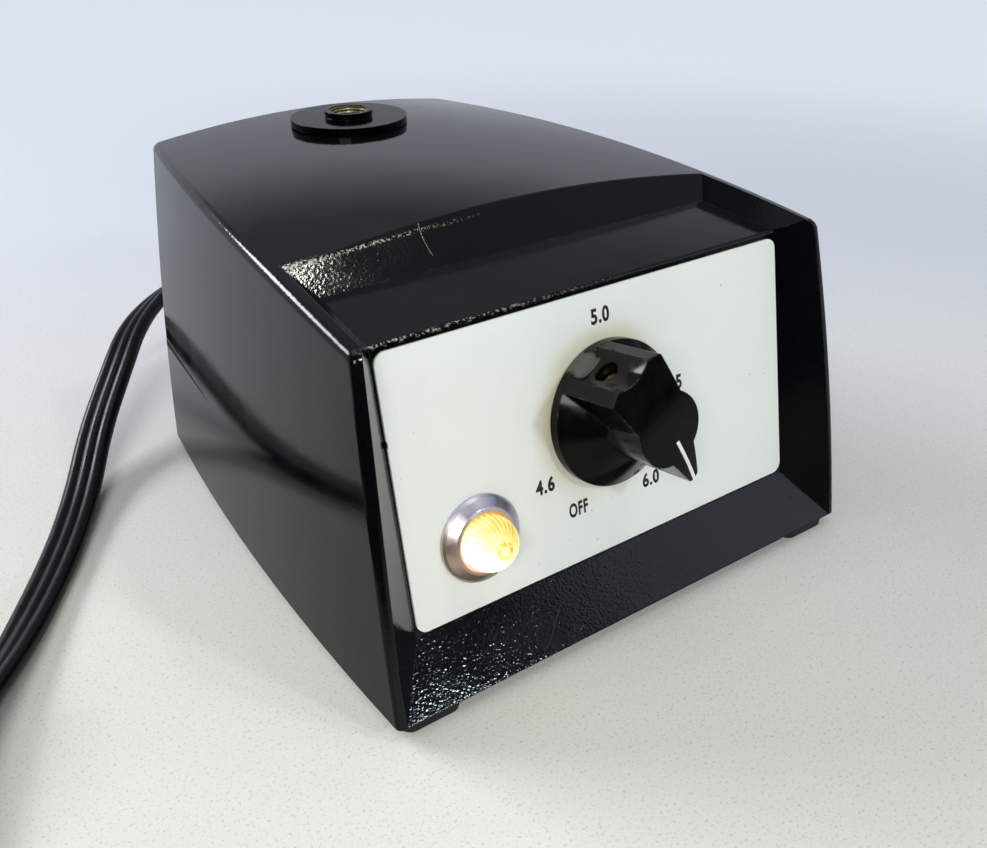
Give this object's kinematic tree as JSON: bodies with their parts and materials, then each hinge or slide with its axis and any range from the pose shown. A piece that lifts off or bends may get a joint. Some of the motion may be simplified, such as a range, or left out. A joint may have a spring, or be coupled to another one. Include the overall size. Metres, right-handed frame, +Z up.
{
  "type": "fiber optic illuminator",
  "caption": "Black bench light box with a white dial plate, pointer knob, lit amber pilot lamp, a light-guide port on top and a flat mains cord.",
  "frame": {"origin": "on the table, under the middle of the box's overall outline", "axes": "+X to the right seen from the dial side, +Y from the dial to the back, +Z up"},
  "size_m": [0.3189, 0.2292, 0.0893],
  "materials": {
    "shell_black": "glossy with a fine orange-peel texture",
    "zinc_steel": "zinc plated",
    "rubber_black": "matt moulded",
    "dial_white": "smooth semi-gloss",
    "bakelite": "polished moulding",
    "pointer_white": "paint filled",
    "brass": "turned, dull",
    "nickel": "nickel plated",
    "ceramic_white": "glazed",
    "resistance_wire": "wound wire",
    "chrome_trim": "bright",
    "amber_lens": "lit amber",
    "fibre_brown": "vulcanised fibre",
    "clear_glass": "clear",
    "port_black": "gloss black",
    "aluminium_plain": "turned",
    "tungsten": "wire",
    "core_steel": "varnished laminations",
    "nylon_white": "moulded",
    "winding_tape": "varnished tape",
    "tinned_brass": "tinned",
    "lead_black": "insulated wire",
    "lead_yellow": "insulated wire",
    "cord_black": "satin ribbed",
    "tie_black": "satin",
    "plug_brass": "bright"
  },
  "bodies": {
    "base": {"housing": "shell_black", "base_plate": "zinc_steel", "feet": "rubber_black", "base_screws": "zinc_steel", "dial_plate": "dial_white", "rheostat_bushing": "nickel", "lock_washer": "zinc_steel", "panel_nut": "nickel", "rheostat_cup": "ceramic_white", "resistance_element": "resistance_wire", "rheostat_lugs": "brass", "pilot_bezel": "chrome_trim", "pilot_lens": "amber_lens", "pilot_nut": "nickel", "pilot_socket": "fibre_brown", "pilot_bulb": "clear_glass", "port_flange": "port_black", "port_bush": "brass", "port_nut": "brass", "lens_tube": "aluminium_plain", "condenser_lens": "clear_glass", "lens_ring": "aluminium_plain", "lens_spacer": "aluminium_plain", "lamp_bulb": "clear_glass", "lamp_filament": "tungsten", "lamp_base": "brass", "lamp_socket": "ceramic_white", "lamp_bracket": "zinc_steel", "bracket_screws": "zinc_steel", "transformer_core": "core_steel", "transformer_bobbin": "nylon_white", "transformer_windings": "winding_tape", "transformer_frame": "core_steel", "frame_screws": "zinc_steel", "core_pad": "fibre_brown", "terminal_strip": "fibre_brown", "terminal_lugs": "tinned_brass", "mains_leads": "lead_black", "lamp_leads": "lead_yellow", "strain_relief": "rubber_black", "cord_inner_end": "cord_black", "power_cord": "cord_black", "cord_tail": "cord_black", "cord_coil": "cord_black", "coil_tie": "tie_black", "plug_body": "rubber_black", "plug_blades": "plug_brass", "plug_earth_pin": "plug_brass"},
    "selector": {"selector_knob": "bakelite", "pointer_line": "pointer_white", "set_screw": "brass", "selector_shaft": "brass", "wiper_hub": "ceramic_white", "wiper_arm": "brass"}
  },
  "joints": [
    {"name": "selector_turn", "type": "hinge", "parent": "base", "child": "selector", "pos_m": [0, -0.05768, 0.0455], "axis": [0, -0.9822, 0.1877], "range_deg": [0, 301]}
  ]
}
